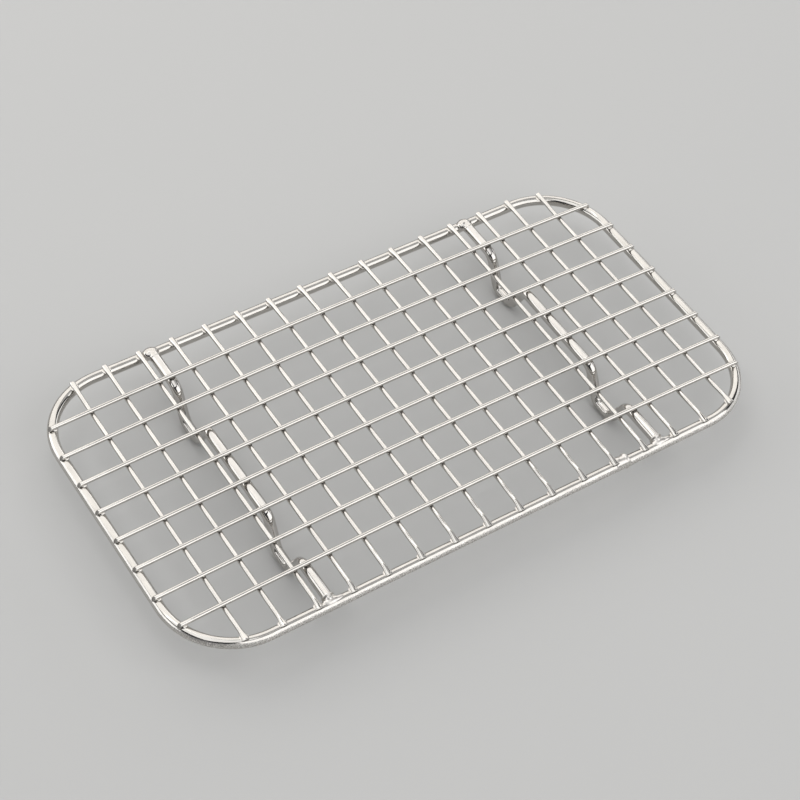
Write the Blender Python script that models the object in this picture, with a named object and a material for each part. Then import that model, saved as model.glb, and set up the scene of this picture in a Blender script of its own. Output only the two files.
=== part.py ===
"""Cooling rack: a welded wire grid on a bent rim wire, standing on two leg wires.

Metres, +X along the rack, +Y to the back, +Z up. The feet stand at Z = 0 and the rim is centred on X = Y = 0.
"""
import math

import bmesh
import bpy
from mathutils import Matrix, Vector

# Outer size over the rim wire, and the radius of its corners' centre line.
RACK_LENGTH = 0.280
RACK_WIDTH = 0.152
CORNER_RADIUS = 0.031

# Wire diameters, and the clearance kept wherever one wire lies on another.
RIM_DIAMETER = 0.0047
LEG_DIAMETER = 0.0047
GRID_DIAMETER = 0.0020
GAP = 0.0003

# The grid: counts, and how far its outermost wires lie inside the rim's centre line.
CROSS_COUNT = 16
LONG_COUNT = 8
LEFT_MARGIN = 0.02045
RIGHT_MARGIN = 0.01785
SIDE_MARGIN = 0.0187
END_OVERHANG = 0.0012
JOGGLE_CLEARANCE = 0.0012

# The legs: each stands in the bay after the cross wire of this number, off the bay's middle by this much.
LEFT_LEG_BAY = 3
RIGHT_LEG_BAY = 13
LEFT_LEG_SHIFT = -0.0024
RIGHT_LEG_SHIFT = -0.0003

# A foot: a V bent down out of the leg wire, given by its corners before they are rounded. It stands about
# under the long wire of this number, and its top leaves the leg straight under the long wires on either side.
FOOT_DROP = 0.01523
FOOT_LONG_WIRE = 2
FOOT_SHIFT = -0.00125
FOOT_TOP_CLEARANCE = 0.0025
FOOT_BOTTOM_WIDTH = 0.0104
FOOT_TOP_BEND = 0.0060
FOOT_BOTTOM_BEND = 0.0050

# Facets around a wire, and along one bend.
THICK_SIDES = 16
THIN_SIDES = 12
CORNER_STEPS = 10
FOOT_STEPS = 5
JOGGLE_STEPS = 3
BOW_STEPS = 15
MERGE_DISTANCE = 0.00001

RIM_RADIUS = RIM_DIAMETER / 2
LEG_RADIUS = LEG_DIAMETER / 2
GRID_RADIUS = GRID_DIAMETER / 2

# The rim's centre line.
RIM_HALF_LENGTH = RACK_LENGTH / 2 - RIM_RADIUS
RIM_HALF_WIDTH = RACK_WIDTH / 2 - RIM_RADIUS

CROSS_PITCH = (2 * RIM_HALF_LENGTH - LEFT_MARGIN - RIGHT_MARGIN) / (CROSS_COUNT - 1)
LONG_PITCH = (2 * RIM_HALF_WIDTH - 2 * SIDE_MARGIN) / (LONG_COUNT - 1)


def cross_wire_x(number):
    """X of a cross wire, counted from 1 at the left."""
    return -RIM_HALF_LENGTH + LEFT_MARGIN + (number - 1) * CROSS_PITCH


def long_wire_y(number):
    """Y of a long wire, counted from 1 at the back."""
    return RIM_HALF_WIDTH - SIDE_MARGIN - (number - 1) * LONG_PITCH


# The long wires lie on the cross wires in the middle and on the rim at both ends: they are bowed by the
# difference, and they draw the cross wires, whose ends stay on the rim, down with them.
BOW_RISE = GRID_DIAMETER + GAP
BOW_RADIUS = (RIM_HALF_LENGTH ** 2 + BOW_RISE ** 2) / (2 * BOW_RISE)


def bow_drop(x):
    """How far a long wire lies below its middle at a distance along it."""
    return BOW_RADIUS - math.sqrt(BOW_RADIUS ** 2 - x ** 2)


# Heights of the centre lines, built up from the foot's underside; of the grid's wires, those at the middle.
LEFT_LEG_X = cross_wire_x(LEFT_LEG_BAY) + CROSS_PITCH / 2 + LEFT_LEG_SHIFT
RIGHT_LEG_X = cross_wire_x(RIGHT_LEG_BAY) + CROSS_PITCH / 2 + RIGHT_LEG_SHIFT
LEG_Z = LEG_RADIUS + FOOT_DROP
LONG_Z = LEG_Z + LEG_RADIUS + GAP + GRID_RADIUS + max(bow_drop(LEFT_LEG_X), bow_drop(RIGHT_LEG_X))
CROSS_Z = LONG_Z - GRID_DIAMETER - GAP
RIM_Z = CROSS_Z - GRID_RADIUS - GAP - RIM_RADIUS


def rim_reach(across, half_across, half_along, corner):
    """How far out the rim lies along one axis, at the distance `across` on the other axis."""
    into_corner = max(0.0, abs(across) - (half_across - corner))
    return half_along - corner + math.sqrt(corner ** 2 - into_corner ** 2)


FOOT_CENTRE = long_wire_y(FOOT_LONG_WIRE) + FOOT_SHIFT
FOOT_TOP_WIDTH = 2 * (LONG_PITCH - FOOT_TOP_CLEARANCE)


def steel(name, colour, roughness):
    """A bright metal for one kind of wire."""
    material = bpy.data.materials.new(name)
    material.use_nodes = True
    surface = material.node_tree.nodes["Principled BSDF"]
    surface.inputs["Base Color"].default_value = colour
    surface.inputs["Metallic"].default_value = 1.0
    surface.inputs["Roughness"].default_value = roughness
    return material


def run_on(mesh, ring, step):
    """Draw the wire straight on: extrude its end ring by a step and return the new end ring."""
    grown = bmesh.ops.extrude_edge_only(mesh, edges=ring)["geom"]
    verts = [item for item in grown if isinstance(item, bmesh.types.BMVert)]
    bmesh.ops.translate(mesh, verts=verts, vec=step)
    return [edge for edge in grown if isinstance(edge, bmesh.types.BMEdge)
            and all(vert in verts for vert in edge.verts)]


def bend_on(mesh, ring, centre, axis, angle, steps):
    """Bend the wire: spin its end ring about an axis and return the new end ring."""
    spun = bmesh.ops.spin(mesh, geom=ring, cent=centre, axis=axis, angle=angle, steps=steps)
    return [item for item in spun["geom_last"] if isinstance(item, bmesh.types.BMEdge)]


def wire_mesh(name, diameter, sides, start, heading, axis, moves, closed=False):
    """Form one wire, as a bender does: straight runs (length,) and bends (angle, radius, steps) about `axis`.

    The section is a polygon around the true circle, with a flat facing each way along and across the axis.
    """
    mesh = bmesh.new()
    side = axis.cross(heading)
    placing = Matrix((side, axis, heading)).transposed().to_4x4()
    placing.translation = start
    half_step = Matrix.Rotation(math.pi / sides, 4, "Z")
    radius = diameter / 2 / math.cos(math.pi / sides)
    circle = bmesh.ops.create_circle(mesh, segments=sides, radius=radius, matrix=placing @ half_step)
    ring = list({edge for vert in circle["verts"] for edge in vert.link_edges})
    place = start.copy()
    heading = heading.copy()
    for move in moves:
        if len(move) == 1:
            step = heading * move[0]
            ring = run_on(mesh, ring, step)
            place = place + step
        else:
            angle, bend_radius, steps = move
            towards = axis.cross(heading) * math.copysign(bend_radius, angle)
            turn = Matrix.Rotation(angle, 3, axis)
            ring = bend_on(mesh, ring, place + towards, axis, angle, steps)
            place = place + towards - turn @ towards
            heading = turn @ heading
    if closed:
        bmesh.ops.remove_doubles(mesh, verts=mesh.verts, dist=MERGE_DISTANCE)
    else:
        bmesh.ops.holes_fill(mesh, edges=[edge for edge in mesh.edges if edge.is_boundary], sides=0)
    bmesh.ops.recalc_face_normals(mesh, faces=mesh.faces)
    data = bpy.data.meshes.new(name)
    mesh.to_mesh(data)
    mesh.free()
    data.shade_smooth()
    data.set_sharp_from_angle(angle=math.radians(40))
    return data


def place_wire(name, data, location, material, parent):
    """Put one wire in the scene as its own object."""
    wire = bpy.data.objects.new(name, data)
    wire.location = location
    wire.parent = parent
    wire.data.materials.append(material)
    bpy.context.scene.collection.objects.link(wire)
    return wire


def make_rim(material, parent):
    """The thick wire bent to a rounded rectangle and closed on itself."""
    long_run = 2 * (RIM_HALF_LENGTH - CORNER_RADIUS)
    short_run = 2 * (RIM_HALF_WIDTH - CORNER_RADIUS)
    corner = (math.pi / 2, CORNER_RADIUS, CORNER_STEPS)
    moves = [(long_run,), corner, (short_run,), corner, (long_run,), corner, (short_run,), corner]
    start = Vector((-long_run / 2, -RIM_HALF_WIDTH, 0))
    data = wire_mesh("rim_wire", RIM_DIAMETER, THICK_SIDES, start, Vector((1, 0, 0)), Vector((0, 0, 1)),
                     moves, closed=True)
    place_wire("rim_wire", data, (0, 0, RIM_Z), material, parent)


def make_leg(name, x, material, parent):
    """A thick wire across the rack under the long wires, with a foot bent down near each end."""
    end_y = RIM_HALF_WIDTH - RIM_RADIUS - GAP
    foot_side = (FOOT_TOP_WIDTH - FOOT_BOTTOM_WIDTH) / 2
    slope = math.atan2(FOOT_DROP, foot_side)
    top_cut = FOOT_TOP_BEND * math.tan(slope / 2)
    bottom_cut = FOOT_BOTTOM_BEND * math.tan(slope / 2)
    down = (-slope, FOOT_TOP_BEND, FOOT_STEPS)
    level_at_foot = (slope, FOOT_BOTTOM_BEND, FOOT_STEPS)
    level_at_top = (-slope, FOOT_TOP_BEND, FOOT_STEPS)
    side_run = (math.hypot(FOOT_DROP, foot_side) - top_cut - bottom_cut,)
    foot = [down, side_run, level_at_foot, (FOOT_BOTTOM_WIDTH - 2 * bottom_cut,), level_at_foot, side_run,
            level_at_top]
    end_run = (end_y - FOOT_CENTRE - FOOT_TOP_WIDTH / 2 - top_cut,)
    middle_run = (2 * (FOOT_CENTRE - FOOT_TOP_WIDTH / 2 - top_cut),)
    moves = [end_run, *foot, middle_run, *foot, end_run]
    data = wire_mesh(name, LEG_DIAMETER, THICK_SIDES, Vector((0, -end_y, 0)), Vector((0, 1, 0)),
                     Vector((1, 0, 0)), moves)
    place_wire(name, data, (x, 0, LEG_Z), material, parent)


def joggle_moves(run, step):
    """An S bend of two equal arcs that steps a wire aside by `step` within `run`; a minus turns it about."""
    angle = 2 * math.atan2(step, run)
    radius = run / 2 / math.sin(abs(angle))
    return [(angle, radius, JOGGLE_STEPS), (-angle, radius, JOGGLE_STEPS)]


def make_cross_wire(number, material, parent):
    """A thin wire with its ends on the rim's long sides, stepped down between them by the bow's drop."""
    name = f"cross_wire_{number:02d}"
    x = cross_wire_x(number)
    end_y = rim_reach(x, RIM_HALF_LENGTH, RIM_HALF_WIDTH, CORNER_RADIUS) + END_OVERHANG
    inner_y = rim_reach(abs(x) + GRID_RADIUS, RIM_HALF_LENGTH - RIM_RADIUS, RIM_HALF_WIDTH - RIM_RADIUS,
                        CORNER_RADIUS - RIM_RADIUS) - JOGGLE_CLEARANCE
    outer_y = long_wire_y(1) + GRID_RADIUS + JOGGLE_CLEARANCE
    step = bow_drop(x)
    moves = [(end_y - inner_y,), *joggle_moves(inner_y - outer_y, -step), (2 * outer_y,),
             *joggle_moves(inner_y - outer_y, step), (end_y - inner_y,)]
    data = wire_mesh(name, GRID_DIAMETER, THIN_SIDES, Vector((0, -end_y, step)), Vector((0, 1, 0)),
                     Vector((1, 0, 0)), moves)
    place_wire(name, data, (x, 0, CROSS_Z - step), material, parent)


def make_long_wire(number, material, parent):
    """A thin wire over all the cross wires, bowed so that its ends come down to the rim's short sides."""
    name = f"long_wire_{number}"
    y = long_wire_y(number)
    end_x = rim_reach(y, RIM_HALF_WIDTH, RIM_HALF_LENGTH, CORNER_RADIUS) + END_OVERHANG
    tilt = math.asin(end_x / BOW_RADIUS)
    heading = Vector((math.cos(tilt), 0, math.sin(tilt)))
    data = wire_mesh(name, GRID_DIAMETER, THIN_SIDES, Vector((-end_x, 0, -bow_drop(end_x))), heading,
                     Vector((0, 1, 0)), [(2 * tilt, BOW_RADIUS, BOW_STEPS)])
    place_wire(name, data, (0, y, LONG_Z), material, parent)


for old in list(bpy.data.objects):
    bpy.data.objects.remove(old)

rack = bpy.data.objects.new("rack", None)
bpy.context.scene.collection.objects.link(rack)

rim_steel = steel("rim_steel", (0.66, 0.64, 0.61, 1), 0.22)
leg_steel = steel("leg_steel", (0.68, 0.66, 0.64, 1), 0.20)
grid_steel = steel("grid_steel", (0.74, 0.72, 0.69, 1), 0.18)

make_rim(rim_steel, rack)
make_leg("left_leg_wire", LEFT_LEG_X, leg_steel, rack)
make_leg("right_leg_wire", RIGHT_LEG_X, leg_steel, rack)
for count in range(CROSS_COUNT):
    make_cross_wire(count + 1, grid_steel, rack)
for count in range(LONG_COUNT):
    make_long_wire(count + 1, grid_steel, rack)
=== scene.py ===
import math

import bmesh
import bpy
from mathutils import Matrix, Quaternion, Vector


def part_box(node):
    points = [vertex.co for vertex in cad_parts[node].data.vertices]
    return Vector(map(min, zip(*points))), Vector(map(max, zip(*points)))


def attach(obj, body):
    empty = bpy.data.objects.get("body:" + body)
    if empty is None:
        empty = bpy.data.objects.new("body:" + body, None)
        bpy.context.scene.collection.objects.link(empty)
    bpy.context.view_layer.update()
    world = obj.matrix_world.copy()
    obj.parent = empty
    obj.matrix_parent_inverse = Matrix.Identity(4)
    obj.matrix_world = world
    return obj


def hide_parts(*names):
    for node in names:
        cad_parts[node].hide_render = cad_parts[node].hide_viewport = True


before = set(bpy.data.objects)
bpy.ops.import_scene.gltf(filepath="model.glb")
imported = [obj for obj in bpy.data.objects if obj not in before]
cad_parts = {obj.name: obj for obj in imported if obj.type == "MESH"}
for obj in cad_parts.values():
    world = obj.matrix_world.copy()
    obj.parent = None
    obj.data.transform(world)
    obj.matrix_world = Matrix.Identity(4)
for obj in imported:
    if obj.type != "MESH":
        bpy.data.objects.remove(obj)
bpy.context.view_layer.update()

# ---------------------------------------------------------------------------
# The studio: a pale floor, great soft boxes behind the rack and in front of it, a bright and a dim one
# side by side overhead, a low one at each side, and a long lens that looks down from the front left.
# ---------------------------------------------------------------------------


def colour(code):
    """A linear colour from an sRGB hex value."""
    parts = [int(code[place:place + 2], 16) / 255 for place in (1, 3, 5)]
    linear = [part / 12.92 if part <= 0.04045 else ((part + 0.055) / 1.055) ** 2.4 for part in parts]
    return (*linear, 1.0)


def add_node(tree, kind, inputs=(), **settings):
    """Add a node with its settings, and give each named or numbered input a value or a link."""
    added = tree.nodes.new(kind)
    for setting, value in settings.items():
        setattr(added, setting, value)
    for socket, value in dict(inputs).items():
        if isinstance(value, bpy.types.NodeSocket):
            tree.links.new(value, added.inputs[socket])
        else:
            added.inputs[socket].default_value = value
    return added


def new_material(name):
    """An empty node material: its tree, and the surface shader that feeds the output."""
    material = bpy.data.materials.new(name)
    material.use_nodes = True
    tree = material.node_tree
    tree.nodes.clear()
    surface = add_node(tree, "ShaderNodeBsdfPrincipled")
    add_node(tree, "ShaderNodeOutputMaterial", {"Surface": surface.outputs["BSDF"]})
    return material, tree, surface


AIM = Vector((-0.0024, -0.0011, 0.0182))
CAMERA_DISTANCE = 0.8257
CAMERA_AZIMUTH = math.radians(-37.21)
CAMERA_ELEVATION = math.radians(49.79)
CAMERA_ROLL = math.radians(6.08)
LENS = 88.63

lens = bpy.data.cameras.new("camera")
lens.lens = LENS
camera = bpy.data.objects.new("camera", lens)
back = Vector((math.sin(CAMERA_AZIMUTH) * math.cos(CAMERA_ELEVATION),
               -math.cos(CAMERA_AZIMUTH) * math.cos(CAMERA_ELEVATION), math.sin(CAMERA_ELEVATION)))
camera.location = AIM + back * CAMERA_DISTANCE
camera.rotation_mode = "QUATERNION"
camera.rotation_quaternion = (-back).to_track_quat("-Z", "Y") @ Quaternion((0, 0, 1), CAMERA_ROLL)
bpy.context.scene.collection.objects.link(camera)
bpy.context.scene.camera = camera

FLOOR_COLOUR = "#B9B9B8"
FLOOR_REACH = 7.0
GLOW_START = 0.5
GLOW_FULL = 2.4
GLOW_STRENGTH = 0.5

# Matt painted board: a broad, even grey-white with no gloss to speak of. A faint glow takes over where
# the studio lights fall off, so that it stays pale to the far edge.
floor_paint, tree, surface = new_material("matt_board")
surface.inputs["Base Color"].default_value = colour(FLOOR_COLOUR)
surface.inputs["Roughness"].default_value = 0.75
surface.inputs["Specular IOR Level"].default_value = 0.2
surface.inputs["Emission Color"].default_value = colour("#FBFBFA")
place = add_node(tree, "ShaderNodeTexCoord").outputs["Object"]
reach = add_node(tree, "ShaderNodeVectorMath", {0: place}, operation="LENGTH")
glow = add_node(tree, "ShaderNodeMapRange", {"Value": reach.outputs["Value"], "From Min": GLOW_START,
                                             "From Max": GLOW_FULL, "To Max": GLOW_STRENGTH},
                interpolation_type="SMOOTHSTEP")
tree.links.new(glow.outputs["Result"], surface.inputs["Emission Strength"])
shape = bmesh.new()
bmesh.ops.create_grid(shape, x_segments=1, y_segments=1, size=FLOOR_REACH)
floor_mesh = bpy.data.meshes.new("floor")
shape.to_mesh(floor_mesh)
shape.free()
floor_mesh.materials.append(floor_paint)
floor = bpy.data.objects.new("floor", floor_mesh)
bpy.context.scene.collection.objects.link(floor)


def soft_box(name, place, target, width, depth, power, tint):
    """A rectangular studio light that faces a point."""
    light = bpy.data.lights.new(name, "AREA")
    light.shape = "RECTANGLE"
    light.size = width
    light.size_y = depth
    light.energy = power
    light.color = colour(tint)[:3]
    stand = bpy.data.objects.new(name, light)
    stand.location = place
    stand.rotation_mode = "QUATERNION"
    stand.rotation_quaternion = (target - Vector(place)).to_track_quat("-Z", "Y")
    bpy.context.scene.collection.objects.link(stand)


soft_box("back_soft_box", (0.25, 1.10, 0.90), Vector((0.25, 0, 0)), 2.6, 1.60, 20.5, "#FFFDFA")
soft_box("front_soft_box", (0.55, -1.08, 0.90), Vector((0.25, 0, 0)), 2.0, 1.45, 16.5, "#FFFFFF")
soft_box("overhead_soft_box", (-0.50, 0.05, 1.48), Vector((-0.50, 0.05, 0)), 1.3, 1.25, 7.4, "#FFFFFF")
soft_box("dim_soft_box", (0.75, -0.05, 1.48), Vector((0.75, -0.05, 0)), 1.2, 1.00, 2.2, "#FFFFFF")
soft_box("left_soft_box", (-1.20, 0.62, 0.56), Vector((0, 0, 0)), 1.6, 0.78, 7.0, "#FDFEFF")
soft_box("right_soft_box", (1.55, 0.10, 0.48), Vector((0, 0, 0)), 2.4, 0.62, 6.0, "#FDFEFF")

world = bpy.data.worlds.new("studio")
world.use_nodes = True
world.node_tree.nodes.clear()
sky = add_node(world.node_tree, "ShaderNodeBackground", {"Color": colour("#3E3F42"), "Strength": 1.0})
add_node(world.node_tree, "ShaderNodeOutputWorld", {"Surface": sky.outputs["Background"]})
bpy.context.scene.world = world
bpy.context.scene.view_settings.view_transform = "Standard"

# ---------------------------------------------------------------------------
# The rim: one thick stainless wire, drawn bright, bent to a rounded rectangle and
# closed on itself. Everything else in the rack is welded to it.
# ---------------------------------------------------------------------------
CORNER_RADIUS = 0.031
RIM_SIDES = 40
CORNER_STEPS = 26
MERGE_DISTANCE = 0.00001
EDGE_ANGLE = math.radians(50)
COLLAR_SHARE = 0.2
LONG_RUN_DIAMETERS = 2


class Wire:
    """A wire in the bender: runs, bends and presses draw it on from its last ring.

    Each point keeps, as `drawn`, its place in the straight wire before bending: length along, then across.
    """

    def __init__(self, diameter, sides, start, heading, axis, width=None, height=None):
        self.mesh = bmesh.new()
        self.drawn = self.mesh.verts.layers.float_vector.new("drawn")
        self.place = Vector(start)
        self.heading = Vector(heading)
        self.axis = Vector(axis)
        self.diameter = diameter
        self.width = self.height = diameter
        self.along = 0.0
        circle = bmesh.ops.create_circle(self.mesh, segments=sides, radius=diameter / 2, matrix=self.stance())
        self.ring = list({edge for vert in circle["verts"] for edge in vert.link_edges})
        self.mark(circle["verts"])
        self.press(width or diameter, height or diameter)

    def stance(self):
        """The ring's own axes, at its place: the bending axis, the side across it, and the heading."""
        side = self.heading.cross(self.axis)
        matrix = Matrix((self.axis, side, self.heading)).transposed().to_4x4()
        matrix.translation = self.place
        return matrix

    def mark(self, verts):
        """Write the straight-wire place on each point of a round ring."""
        back_to_ring = self.stance().inverted()
        for vert in verts:
            across = back_to_ring @ vert.co
            vert[self.drawn] = (self.along, across.x, across.y)

    def grown(self, verts, length):
        """Move the straight-wire place of a new ring on by a length."""
        self.along += length
        for vert in verts:
            vert[self.drawn] = (self.along, vert[self.drawn].y, vert[self.drawn].z)

    def run(self, length, rise=0.0):
        """Draw straight on, raised across the bending axis if need be.

        A long run gets a ring close to each end, so that the light lies evenly along it.
        """
        collar = self.diameter * COLLAR_SHARE
        is_long = length > self.diameter * LONG_RUN_DIAMETERS
        strides = (collar, length - 2 * collar, collar) if is_long else (length,)
        for stride in strides:
            grown = bmesh.ops.extrude_edge_only(self.mesh, edges=self.ring)["geom"]
            verts = [item for item in grown if isinstance(item, bmesh.types.BMVert)]
            step = self.heading * stride + self.axis.cross(self.heading) * rise * stride / length
            bmesh.ops.translate(self.mesh, verts=verts, vec=step)
            self.place += step
            self.ring = [item for item in grown if isinstance(item, bmesh.types.BMEdge)
                         and all(vert in verts for vert in item.verts)]
            self.grown(verts, stride)

    def bend(self, angle, radius, steps):
        """Bend about the axis, one short turn after another."""
        for _ in range(steps):
            towards = self.axis.cross(self.heading) * math.copysign(radius, angle)
            turn = Matrix.Rotation(angle / steps, 3, self.axis)
            spun = bmesh.ops.spin(self.mesh, geom=self.ring, cent=self.place + towards, axis=self.axis,
                                  angle=angle / steps, steps=1)["geom_last"]
            self.ring = [item for item in spun if isinstance(item, bmesh.types.BMEdge)]
            verts = [item for item in spun if isinstance(item, bmesh.types.BMVert)]
            self.place += towards - turn @ towards
            self.heading = turn @ self.heading
            self.grown(verts, radius * abs(angle) / steps)

    def press(self, width, height):
        """Squeeze the last ring: `width` along the bending axis, `height` across it."""
        verts = list({vert for edge in self.ring for vert in edge.verts})
        bmesh.ops.scale(self.mesh, verts=verts, vec=(width / self.width, height / self.height, 1),
                        space=self.stance().inverted())
        self.width = width
        self.height = height

    def close(self):
        """Weld the last ring to the first."""
        bmesh.ops.remove_doubles(self.mesh, verts=self.mesh.verts, dist=MERGE_DISTANCE)

    def slant(self, verts, lean):
        """Shear an end ring across the bending axis, as a cutter that comes down at an angle leaves it."""
        away = sum((vert.co for vert in verts), Vector()) / len(verts)
        for vert in verts:
            vert.co.x += (vert.co.z - away.z) * lean

    def cut(self, burr):
        """Close both ends with a sheared face in the second finish, its edge rounded by the shear."""
        rims = [edge for edge in self.mesh.edges if edge.is_boundary]
        bmesh.ops.holes_fill(self.mesh, edges=rims, sides=0)
        bmesh.ops.bevel(self.mesh, geom=rims, offset=burr, offset_type="OFFSET", segments=3, profile=0.5,
                        affect="EDGES", material=-1)
        for face in self.mesh.faces:
            if len(face.verts) > 4:
                face.material_index = 1

    def finish(self, name, *materials):
        """Make the wire an object, and hand it to the rack's one body."""
        bmesh.ops.recalc_face_normals(self.mesh, faces=self.mesh.faces)
        return finished(self.mesh, name, *materials)


def finished(shape, name, *materials):
    """Turn a finished shape into an object that rides on the rack."""
    data = bpy.data.meshes.new(name)
    shape.to_mesh(data)
    shape.free()
    for material in materials:
        data.materials.append(material)
    data.shade_smooth()
    data.set_sharp_from_angle(angle=EDGE_ANGLE)
    piece = bpy.data.objects.new(name, data)
    bpy.context.scene.collection.objects.link(piece)
    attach(piece, "root")
    return piece


def drawn_steel(name, light, dark, smooth, rough, peel, lines, pits=0.0):
    """Stainless wire drawn through a die and electropolished: near-mirror, with faint lines along it.

    `peel` is the height of the polish's soft unevenness, `lines` that of the die lines, and `pits` the depth
    of the etched grain that the polish left along the outer face of the front, in metres.
    """
    material, tree, surface = new_material(name)
    drawn = add_node(tree, "ShaderNodeAttribute", attribute_name="drawn").outputs["Vector"]
    # Cloudy changes of tone, 7 mm long, where the polish took more or less.
    cloud_place = add_node(tree, "ShaderNodeMapping", {"Vector": drawn, "Scale": (140, 420, 420)})
    cloud = add_node(tree, "ShaderNodeTexNoise", {"Vector": cloud_place.outputs["Vector"], "Scale": 1.0,
                                                  "Detail": 3.0})
    tone = add_node(tree, "ShaderNodeMix", {0: cloud.outputs["Fac"], 6: colour(dark), 7: colour(light)},
                    data_type="RGBA")
    sheen = add_node(tree, "ShaderNodeMapRange", {"Value": cloud.outputs["Fac"], "From Min": 0.3,
                                                  "From Max": 0.7, "To Min": rough, "To Max": smooth})
    # Die lines are some 0.03 mm apart: here they are drawn 0.2 mm apart and 25 mm long, so that they show.
    line_place = add_node(tree, "ShaderNodeMapping", {"Vector": drawn, "Scale": (40, 5000, 5000)})
    line = add_node(tree, "ShaderNodeTexNoise", {"Vector": line_place.outputs["Vector"], "Scale": 1.0,
                                                 "Detail": 2.0})
    # The polish leaves a soft unevenness, about 0.9 mm across.
    peel_place = add_node(tree, "ShaderNodeMapping", {"Vector": drawn, "Scale": (700, 1100, 1100)})
    skin = add_node(tree, "ShaderNodeTexNoise", {"Vector": peel_place.outputs["Vector"], "Scale": 1.0,
                                                 "Detail": 2.0})
    skin_bump = add_node(tree, "ShaderNodeBump", {"Height": skin.outputs["Fac"], "Distance": peel,
                                                  "Strength": 1.0})
    line_bump = add_node(tree, "ShaderNodeBump", {"Height": line.outputs["Fac"], "Distance": lines,
                                                  "Strength": 1.0, "Normal": skin_bump.outputs["Normal"]})
    if pits:
        # The grain is 0.35 mm across. It lies on the outermost 0.6 mm of the wire, and fades out round the
        # two front corners.
        place = add_node(tree, "ShaderNodeTexCoord").outputs["Object"]
        split = add_node(tree, "ShaderNodeSeparateXYZ", {"Vector": place})
        across = add_node(tree, "ShaderNodeSeparateXYZ", {"Vector": drawn})
        front = add_node(tree, "ShaderNodeMapRange", {"Value": split.outputs["Y"], "From Min": -0.0480,
                                                      "From Max": -0.0660, "To Min": 0.08, "To Max": 1.0})
        outside = add_node(tree, "ShaderNodeMapRange", {"Value": across.outputs["Z"], "From Min": 0.00150,
                                                        "From Max": 0.00185})
        etched = add_node(tree, "ShaderNodeMath", {0: front.outputs["Result"], 1: outside.outputs["Result"]},
                          operation="MULTIPLY")
        grain = add_node(tree, "ShaderNodeTexNoise", {"Vector": place, "Scale": 2900.0, "Detail": 2.0})
        relief = add_node(tree, "ShaderNodeMath", {0: grain.outputs["Fac"], 1: etched.outputs["Value"]},
                          operation="MULTIPLY")
        line_bump = add_node(tree, "ShaderNodeBump", {"Height": relief.outputs["Value"], "Distance": pits,
                                                      "Strength": 1.0, "Normal": line_bump.outputs["Normal"]})
        speck = add_node(tree, "ShaderNodeMapRange", {"Value": grain.outputs["Fac"], "From Min": 0.40,
                                                      "From Max": 0.62, "To Min": 0.0, "To Max": 0.85})
        frost = add_node(tree, "ShaderNodeMix", {0: speck.outputs["Result"], 6: colour("#EFECE8"),
                                                 7: colour("#8B8782")}, data_type="RGBA")
        tone = add_node(tree, "ShaderNodeMix", {0: etched.outputs["Value"], 6: tone.outputs[2],
                                                7: frost.outputs[2]}, data_type="RGBA")
        sheen = add_node(tree, "ShaderNodeMath", {0: etched.outputs["Value"], 1: 0.42,
                                                  2: sheen.outputs["Result"]}, operation="MULTIPLY_ADD")
    surface.inputs["Metallic"].default_value = 1.0
    tree.links.new(tone.outputs[2], surface.inputs["Base Color"])
    tree.links.new(sheen.outputs[0], surface.inputs["Roughness"])
    tree.links.new(line_bump.outputs["Normal"], surface.inputs["Normal"])
    return material


rim_steel = drawn_steel("drawn_steel_rim", "#D2CFCA", "#B4B1AC", 0.07, 0.15, 0.000010, 0.000002, 0.00012)

rim_low, rim_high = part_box("rim_wire")
RIM_RADIUS = (rim_high.z - rim_low.z) / 2
RIM_Z = (rim_high.z + rim_low.z) / 2
RIM_HALF_LENGTH = rim_high.x - RIM_RADIUS
RIM_HALF_WIDTH = rim_high.y - RIM_RADIUS
long_run = 2 * (RIM_HALF_LENGTH - CORNER_RADIUS)
short_run = 2 * (RIM_HALF_WIDTH - CORNER_RADIUS)
rim_wire = Wire(2 * RIM_RADIUS, RIM_SIDES, (-long_run / 2, -RIM_HALF_WIDTH, RIM_Z), (1, 0, 0), (0, 0, 1))
for straight in (long_run, short_run, long_run, short_run):
    rim_wire.run(straight)
    rim_wire.bend(math.pi / 2, CORNER_RADIUS, CORNER_STEPS)
rim_wire.close()
rim_piece = rim_wire.finish("rim_wire_round", rim_steel)
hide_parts("rim_wire")

# ---------------------------------------------------------------------------
# The two leg wires: thick stainless wire under the long wires, bent down to a V foot
# near each end, with its ends cut square just inside the rim.
# ---------------------------------------------------------------------------
FOOT_CENTRE = 0.038
FOOT_TOP_WIDTH = 0.0264
FOOT_BOTTOM_WIDTH = 0.0104
FOOT_TOP_BEND = 0.0060
FOOT_BOTTOM_BEND = 0.0050
LEG_SIDES = 36
FOOT_STEPS = 14
LEG_BURR = 0.0003


def sheared_steel(name, tone, dark):
    """The end of a wire as the shears left it: duller, with the tear of the cut across it."""
    material, tree, surface = new_material(name)
    place = add_node(tree, "ShaderNodeTexCoord").outputs["Object"]
    # The cut's drag lines are about 0.15 mm apart.
    drag = add_node(tree, "ShaderNodeMapping", {"Vector": place, "Scale": (900, 900, 6500)})
    tear = add_node(tree, "ShaderNodeTexNoise", {"Vector": drag.outputs["Vector"], "Scale": 1.0,
                                                 "Detail": 3.0})
    shade = add_node(tree, "ShaderNodeMix", {0: tear.outputs["Fac"], 6: colour(dark), 7: colour(tone)},
                     data_type="RGBA")
    bump = add_node(tree, "ShaderNodeBump", {"Height": tear.outputs["Fac"], "Distance": 0.00006,
                                             "Strength": 1.0})
    surface.inputs["Metallic"].default_value = 1.0
    surface.inputs["Roughness"].default_value = 0.42
    tree.links.new(shade.outputs[2], surface.inputs["Base Color"])
    tree.links.new(bump.outputs["Normal"], surface.inputs["Normal"])
    return material


leg_steel = drawn_steel("drawn_steel_leg", "#D3D0CC", "#B7B4B0", 0.05, 0.11, 0.000012, 0.000002)
sheared_end = sheared_steel("sheared_steel", "#9B9893", "#5A5753")

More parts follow.
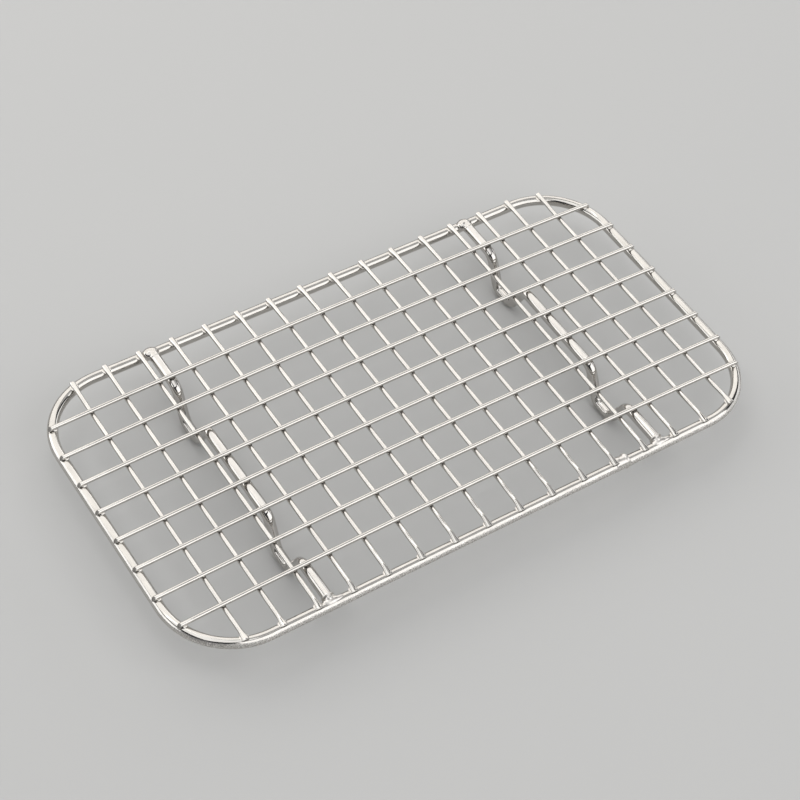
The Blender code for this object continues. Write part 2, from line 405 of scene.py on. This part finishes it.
for leg_node in ("left_leg_wire", "right_leg_wire"):
    leg_low, leg_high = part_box(leg_node)
    LEG_RADIUS = (leg_high.x - leg_low.x) / 2
    LEG_Z = leg_high.z - LEG_RADIUS
    foot_drop = LEG_Z - leg_low.z - LEG_RADIUS
    foot_side = (FOOT_TOP_WIDTH - FOOT_BOTTOM_WIDTH) / 2
    slope = math.atan2(foot_drop, foot_side)
    top_cut = FOOT_TOP_BEND * math.tan(slope / 2)
    bottom_cut = FOOT_BOTTOM_BEND * math.tan(slope / 2)
    side_run = math.hypot(foot_drop, foot_side) - top_cut - bottom_cut
    leg = Wire(2 * LEG_RADIUS, LEG_SIDES, ((leg_low.x + leg_high.x) / 2, leg_low.y, LEG_Z), (0, 1, 0),
               (1, 0, 0))
    leg.run(leg_high.y - FOOT_CENTRE - FOOT_TOP_WIDTH / 2 - top_cut)
    for straight in (2 * (FOOT_CENTRE - FOOT_TOP_WIDTH / 2 - top_cut),
                     leg_high.y - FOOT_CENTRE - FOOT_TOP_WIDTH / 2 - top_cut):
        leg.bend(-slope, FOOT_TOP_BEND, FOOT_STEPS)
        leg.run(side_run)
        leg.bend(slope, FOOT_BOTTOM_BEND, FOOT_STEPS)
        leg.run(FOOT_BOTTOM_WIDTH - 2 * bottom_cut)
        leg.bend(slope, FOOT_BOTTOM_BEND, FOOT_STEPS)
        leg.run(side_run)
        leg.bend(-slope, FOOT_TOP_BEND, FOOT_STEPS)
        leg.run(straight)
    leg.cut(LEG_BURR)
    leg_piece = leg.finish(leg_node + "_round", leg_steel, sheared_end)
    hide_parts(leg_node)

# ---------------------------------------------------------------------------
# The sixteen cross wires: thin stainless wire from one long side of the rim to the other,
# drawn down between them by the bow of the long wires. The welding electrodes pressed its
# front ends flat and wide, and its back ends less so.
# ---------------------------------------------------------------------------
CROSS_COUNT = 16
THIN_SIDES = 24
THIN_BURR = 0.00012
PRESSED_LENGTH = 0.0058
PRESSED_WIDTH = 0.00290
PRESSED_HEIGHT = 0.00130
BACK_PRESSED_WIDTH = 0.00250
BACK_PRESSED_HEIGHT = 0.00165
PRESSED_SINK = 0.00012
PRESS_STEPS = 7
JOGGLE_CLEARANCE = 0.0012
JOGGLE_STEPS = 6
FUSED_DEPTH = 0.00025

grid_steel = drawn_steel("drawn_steel_grid", "#D6D3CE", "#BDBAB5", 0.05, 0.10, 0.000002, 0.0000005)


def press_end(wire, sense, diameter, drop, width, height):
    """Flatten and spread the wire's end over the rim: sense 1 from the end inwards, -1 towards the end."""
    for step in range(PRESS_STEPS):
        shares = [(count if sense < 0 else PRESS_STEPS - count) / PRESS_STEPS for count in (step, step + 1)]
        before, after = [share * share * (3 - 2 * share) for share in shares]
        wire.run(PRESSED_LENGTH / PRESS_STEPS, rise=(before - after) * drop)
        wire.press(diameter + (width - diameter) * after, diameter + (height - diameter) * after)


def step_aside(wire, run, step):
    """Shift the wire by `step` within `run`, by two equal bends."""
    angle = 2 * math.atan2(step, run)
    radius = run / 2 / math.sin(abs(angle))
    wire.bend(angle, radius, JOGGLE_STEPS)
    wire.bend(-angle, radius, JOGGLE_STEPS)


outer_long_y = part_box("long_wire_1")[1].y + JOGGLE_CLEARANCE
for count in range(CROSS_COUNT):
    cross_node = f"cross_wire_{count + 1:02d}"
    cross_low, cross_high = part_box(cross_node)
    GRID_RADIUS = (cross_high.x - cross_low.x) / 2
    pressed_z = rim_high.z - PRESSED_SINK + PRESSED_HEIGHT / 2
    rise = (cross_low.z + GRID_RADIUS + FUSED_DEPTH - pressed_z) / 2
    back_rise = rise - (BACK_PRESSED_HEIGHT - PRESSED_HEIGHT) / 4
    start = ((cross_low.x + cross_high.x) / 2, cross_low.y, pressed_z)
    step_run = cross_high.y - PRESSED_LENGTH - outer_long_y
    cross = Wire(2 * GRID_RADIUS, THIN_SIDES, start, (0, 1, 0), (1, 0, 0), PRESSED_WIDTH, PRESSED_HEIGHT)
    press_end(cross, 1, 2 * GRID_RADIUS, rise, PRESSED_WIDTH, PRESSED_HEIGHT)
    step_aside(cross, step_run, rise)
    cross.run(2 * outer_long_y)
    step_aside(cross, step_run, -back_rise)
    press_end(cross, -1, 2 * GRID_RADIUS, back_rise, BACK_PRESSED_WIDTH, BACK_PRESSED_HEIGHT)
    cross.cut(THIN_BURR)
    cross_piece = cross.finish(cross_node + "_pressed", grid_steel, sheared_end)
    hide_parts(cross_node)

# ---------------------------------------------------------------------------
# The eight long wires: thin stainless wire over all the cross wires, bowed so that
# both ends come down to the rim's short sides, where they are fused to it and cut.
# ---------------------------------------------------------------------------
LONG_COUNT = 8
BOW_STEPS = 60
LANDING_SINK = 0.0004
CUT_LEAN = 0.80
CUT_STUB = 0.0012
BOX_CLEARANCE = 0.00001

middle_low, middle_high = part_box("long_wire_4")
LONG_Z = middle_high.z - GRID_RADIUS - BOX_CLEARANCE
BOW_DROP = middle_high.z - middle_low.z - 2 * GRID_RADIUS + LANDING_SINK
BOW_RADIUS = (middle_high.x ** 2 + BOW_DROP ** 2) / (2 * BOW_DROP)


def bow_drop(x):
    """How far a long wire lies below its middle at a distance along it."""
    return BOW_RADIUS - math.sqrt(BOW_RADIUS ** 2 - x ** 2)


for count in range(LONG_COUNT):
    long_node = f"long_wire_{count + 1}"
    long_low, long_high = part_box(long_node)
    wire_y = (long_low.y + long_high.y) / 2
    tilt = math.asin(long_high.x / BOW_RADIUS)
    end_x = long_high.x - GRID_RADIUS * math.sin(tilt)
    bow = tilt - CUT_STUB / BOW_RADIUS
    long_wire = Wire(2 * GRID_RADIUS, THIN_SIDES, (-end_x, wire_y, LONG_Z - bow_drop(end_x)),
                     (math.cos(bow), 0, math.sin(bow)), (0, 1, 0))
    first_ring = {vert for edge in long_wire.ring for vert in edge.verts}
    long_wire.run(CUT_STUB)
    long_wire.bend(2 * bow, BOW_RADIUS, BOW_STEPS)
    long_wire.run(CUT_STUB)
    long_wire.slant(first_ring, CUT_LEAN)
    long_wire.slant({vert for edge in long_wire.ring for vert in edge.verts}, -CUT_LEAN)
    long_wire.cut(THIN_BURR)
    long_piece = long_wire.finish(long_node + "_round", grid_steel, sheared_end)
    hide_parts(long_node)

# ---------------------------------------------------------------------------
# The crossing welds: where a long wire lies on a cross wire the two are fused, and
# a little metal is squeezed out all round. A row of these is one piece.
# ---------------------------------------------------------------------------
CROSSING_NUGGET = (0.00098, 0.00150, 0.00062)
CROSSING_FACETS = 12


def weld_steel(name, light, dark, rough, ripples):
    """Metal that ran and froze: the same steel, with painted shade that darkens the hollows of its ripples,
    and ripples that high in metres.
    """
    material, tree, surface = new_material(name)
    place = add_node(tree, "ShaderNodeTexCoord").outputs["Object"]
    # The crust's grains are about 0.25 mm across, on ripples of about 0.8 mm.
    crust = add_node(tree, "ShaderNodeTexNoise", {"Vector": place, "Scale": 4000.0, "Detail": 2.0})
    ripple = add_node(tree, "ShaderNodeTexNoise", {"Vector": place, "Scale": 1250.0, "Detail": 1.0})
    # Painted shade: the colour runs from dark in the ripples' hollows to light on their crests.
    shade = add_node(tree, "ShaderNodeMix", {0: ripple.outputs["Fac"], 6: colour(dark), 7: colour(light)},
                     data_type="RGBA")
    ripple_bump = add_node(tree, "ShaderNodeBump", {"Height": ripple.outputs["Fac"], "Distance": ripples,
                                                    "Strength": 1.0})
    crust_bump = add_node(tree, "ShaderNodeBump", {"Height": crust.outputs["Fac"], "Distance": ripples / 6,
                                                   "Strength": 1.0, "Normal": ripple_bump.outputs["Normal"]})
    surface.inputs["Metallic"].default_value = 1.0
    surface.inputs["Roughness"].default_value = rough
    tree.links.new(shade.outputs[2], surface.inputs["Base Color"])
    tree.links.new(crust_bump.outputs["Normal"], surface.inputs["Normal"])
    return material


def lump(shape, place, half_sizes, facets):
    """A rounded lump of weld metal, with that many facets round it."""
    bmesh.ops.create_uvsphere(shape, u_segments=facets, v_segments=facets // 2, radius=1,
                              matrix=Matrix.Translation(place) @ Matrix.Diagonal((*half_sizes, 1)))


# The crossing and leg-to-grid welds are coloured dark grey: painted shade for the crevices where the wires
# cross and where they lie on the legs.
painted_shade_weld = weld_steel("resistance_weld_painted_shade", "#6A6662", "#37342F", 0.32, 0.00012)

for row in range(LONG_COUNT):
    long_low, long_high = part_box(f"long_wire_{row + 1}")
    wire_y = (long_low.y + long_high.y) / 2
    shape = bmesh.new()
    for count in range(CROSS_COUNT):
        cross_low, cross_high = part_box(f"cross_wire_{count + 1:02d}")
        cross_x = (cross_low.x + cross_high.x) / 2
        cross_top = cross_low.z + 2 * GRID_RADIUS + FUSED_DEPTH
        middle = Vector((cross_x, wire_y, (cross_top + LONG_Z - bow_drop(cross_x) - GRID_RADIUS) / 2))
        lump(shape, middle, CROSSING_NUGGET, CROSSING_FACETS)
    # Each crossing weld carries the dark grey painted shade.
    welds = finished(shape, f"crossing_welds_{row + 1}", painted_shade_weld)

# ---------------------------------------------------------------------------
# The leg-to-grid welds: each straight stretch of a leg is fused to the long wires that
# lie on it, with a bead squeezed out to both sides.
# ---------------------------------------------------------------------------
LEG_WELD_WIRES = (1, 4, 5, 8)
LEG_NUGGET = (0.00155, 0.00155, 0.00066)
LEG_NUGGET_FACETS = 20

for leg_node in ("left_leg_wire", "right_leg_wire"):
    leg_low, leg_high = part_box(leg_node)
    leg_x = (leg_low.x + leg_high.x) / 2
    shape = bmesh.new()
    for row in LEG_WELD_WIRES:
        long_low, long_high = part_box(f"long_wire_{row}")
        middle = Vector((leg_x, (long_low.y + long_high.y) / 2,
                         (leg_high.z + LONG_Z - bow_drop(leg_x) - GRID_RADIUS) / 2))
        lump(shape, middle, LEG_NUGGET, LEG_NUGGET_FACETS)
    # Each leg-to-grid weld carries the dark grey painted shade.
    welds = finished(shape, leg_node + "_grid_welds", painted_shade_weld)

# ---------------------------------------------------------------------------
# The end welds: under each pressed end of a cross wire, and under each end of a long
# wire, the metal has run out on the rim in a low toe.
# ---------------------------------------------------------------------------
CROSS_TOE = (0.00195, 0.00190, 0.00028)
LONG_TOE = (0.00165, 0.00145, 0.00055)
CROSS_TOE_SINK = 0.00010
LONG_TOE_INSET = 0.00040
TOE_FACETS = 16

bright_weld = weld_steel("polished_weld", "#D4D1CC", "#B2AEA9", 0.16, 0.00004)

shape = bmesh.new()
for count in range(CROSS_COUNT):
    cross_low, cross_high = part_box(f"cross_wire_{count + 1:02d}")
    cross_x = (cross_low.x + cross_high.x) / 2
    for side in (-1, 1):
        place = Vector((cross_x, side * (cross_high.y - CROSS_TOE[1]), rim_high.z - CROSS_TOE_SINK))
        lump(shape, place, CROSS_TOE, TOE_FACETS)
cross_toes = finished(shape, "cross_wire_end_welds", bright_weld)
shape = bmesh.new()
for row in range(LONG_COUNT):
    long_low, long_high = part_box(f"long_wire_{row + 1}")
    wire_y = (long_low.y + long_high.y) / 2
    for side in (-1, 1):
        place = Vector((side * (long_high.x - LONG_TOE[0] - LONG_TOE_INSET), wire_y, rim_high.z))
        lump(shape, place, LONG_TOE, TOE_FACETS)
long_toes = finished(shape, "long_wire_end_welds", bright_weld)

# ---------------------------------------------------------------------------
# The leg end welds: arc welds that fill the corner between a leg's cut end and the rim,
# full and smooth at the back, thinner and drawn out along the rim at the front, where
# the leg's end stands out in a collar.
# ---------------------------------------------------------------------------
POOL_GRAIN = 0.00022
POOL_SMOOTHING = 8
POOL_SETTLING = 0.5
POOL_FACETS = 32
# A stub is the stretch of rim inside a pool, just thinner than the rim, so that the pool flows on to it.
STUB_SHRINK = 0.00012
BACK_STUB = 0.0130
BACK_SLEEVE = 0.0030
BACK_SLEEVE_INSET = 0.0004
BACK_OVERLAP = 0.00015
FRONT_STUB = 0.0150
FRONT_STUB_SHIFT = 0.0008
COLLAR_LENGTH = 0.0009
COLLAR_INSET = 0.0003
COLLAR_OVERLAP = 0.00040
# Each lump: its place from the leg's middle, its cut end and the rim's centre line, and its half sizes.
BACK_LUMP = ((-0.0007, 0.0017, 0.0016), (0.0038, 0.0031, 0.0024))
FRONT_LUMPS = (
    ((0.0, -0.0008, 0.0014), (0.0018, 0.0019, 0.0023)),
    ((0.0004, -0.0019, 0.0016), (0.0037, 0.0019, 0.0015)),
    ((0.0030, -0.0022, 0.0016), (0.0036, 0.0013, 0.0011)),
)

etched_weld = weld_steel("etched_weld", "#E6E3DF", "#B9B5B0", 0.30, 0.00005)


def rod(shape, place, heading, radius, length):
    """A straight round stretch of a weld pool, such as a sleeve, a collar or the wire inside it."""
    turn = Vector(heading).to_track_quat("Z", "Y").to_matrix().to_4x4()
    bmesh.ops.create_cone(shape, cap_ends=True, segments=POOL_FACETS, radius1=radius, radius2=radius,
                          depth=length, matrix=Matrix.Translation(place) @ turn)


def weld_pool(shape, name, finish):
    """Melt overlapping lumps and rods into one skin, and let it settle smooth, as part of the rack."""
    data = bpy.data.meshes.new(name)
    shape.to_mesh(data)
    shape.free()
    piece = bpy.data.objects.new(name, data)
    bpy.context.scene.collection.objects.link(piece)
    melt = piece.modifiers.new("melt", "REMESH")
    melt.mode = "VOXEL"
    melt.voxel_size = POOL_GRAIN
    settle = piece.modifiers.new("settle", "SMOOTH")
    settle.factor = POOL_SETTLING
    settle.iterations = POOL_SMOOTHING
    melted = bpy.data.meshes.new_from_object(piece.evaluated_get(bpy.context.evaluated_depsgraph_get()))
    bpy.data.objects.remove(piece)
    bpy.data.meshes.remove(data)
    shape = bmesh.new()
    shape.from_mesh(melted)
    bpy.data.meshes.remove(melted)
    welded = finished(shape, name, finish)
    return welded


for leg_node in ("left_leg_wire", "right_leg_wire"):
    leg_low, leg_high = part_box(leg_node)
    leg_x = (leg_low.x + leg_high.x) / 2
    shape = bmesh.new()
    rod(shape, (leg_x, leg_high.y - BACK_SLEEVE_INSET, LEG_Z), (0, 1, 0), LEG_RADIUS + BACK_OVERLAP,
        BACK_SLEEVE)
    rod(shape, (leg_x, RIM_HALF_WIDTH, RIM_Z), (1, 0, 0), RIM_RADIUS - STUB_SHRINK, BACK_STUB)
    (aside, beyond, above), half_sizes = BACK_LUMP
    lump(shape, (leg_x + aside, leg_high.y + beyond, RIM_Z + above), half_sizes, POOL_FACETS)
    weld_pool(shape, leg_node + "_back_weld", bright_weld)
    shape = bmesh.new()
    rod(shape, (leg_x + FRONT_STUB_SHIFT, -RIM_HALF_WIDTH, RIM_Z), (1, 0, 0), RIM_RADIUS - STUB_SHRINK,
        FRONT_STUB)
    rod(shape, (leg_x, leg_low.y + COLLAR_INSET, LEG_Z), (0, 1, 0), LEG_RADIUS + COLLAR_OVERLAP,
        COLLAR_LENGTH)
    for (aside, beyond, above), half_sizes in FRONT_LUMPS:
        lump(shape, (leg_x + aside, leg_low.y + beyond, RIM_Z + above), half_sizes, POOL_FACETS)
    weld_pool(shape, leg_node + "_front_weld", etched_weld)

# ---------------------------------------------------------------------------
# The rim's butt weld: on the front side the wire's two ends meet in a thick sleeve of weld,
# fuller at the left, with a ridge round its right end and a blob hanging on the outside.
# ---------------------------------------------------------------------------
BUTT_X = 0.0610
BUTT_LIFT = 0.00030
BUTT_INWARD = 0.00050
BUTT_STUB = 0.0130
SLEEVE_X = BUTT_X - 0.0008
SLEEVE_LENGTH = 0.0066
SLEEVE_OVERLAP = 0.00035
RIDGE_X = BUTT_X + 0.0016
RIDGE_LENGTH = 0.0010
RIDGE_OVERLAP = 0.00065
RIDGE_SLANT = 0.15
# The fuller left part and the blob: half sizes.
SWELL = (0.0030, 0.00285, 0.00285)
BLOB = (0.0014, 0.0009, 0.0011)

shape = bmesh.new()
butt_y = -RIM_HALF_WIDTH + BUTT_INWARD
butt_z = RIM_Z + BUTT_LIFT
rod(shape, (BUTT_X, -RIM_HALF_WIDTH, RIM_Z), (1, 0, 0), RIM_RADIUS - STUB_SHRINK, BUTT_STUB)
rod(shape, (SLEEVE_X, butt_y, butt_z), (1, 0, 0), RIM_RADIUS + SLEEVE_OVERLAP, SLEEVE_LENGTH)
lump(shape, (BUTT_X - 0.0026, butt_y + 0.0002, butt_z), SWELL, POOL_FACETS)
rod(shape, (RIDGE_X, butt_y + 0.0002, butt_z + 0.0001), (1, RIDGE_SLANT, 0), RIM_RADIUS + RIDGE_OVERLAP,
    RIDGE_LENGTH)
lump(shape, (RIDGE_X, -RIM_HALF_WIDTH - 0.0012, RIM_Z - 0.0017), BLOB, POOL_FACETS)
butt_weld = weld_pool(shape, "rim_butt_weld", etched_weld)
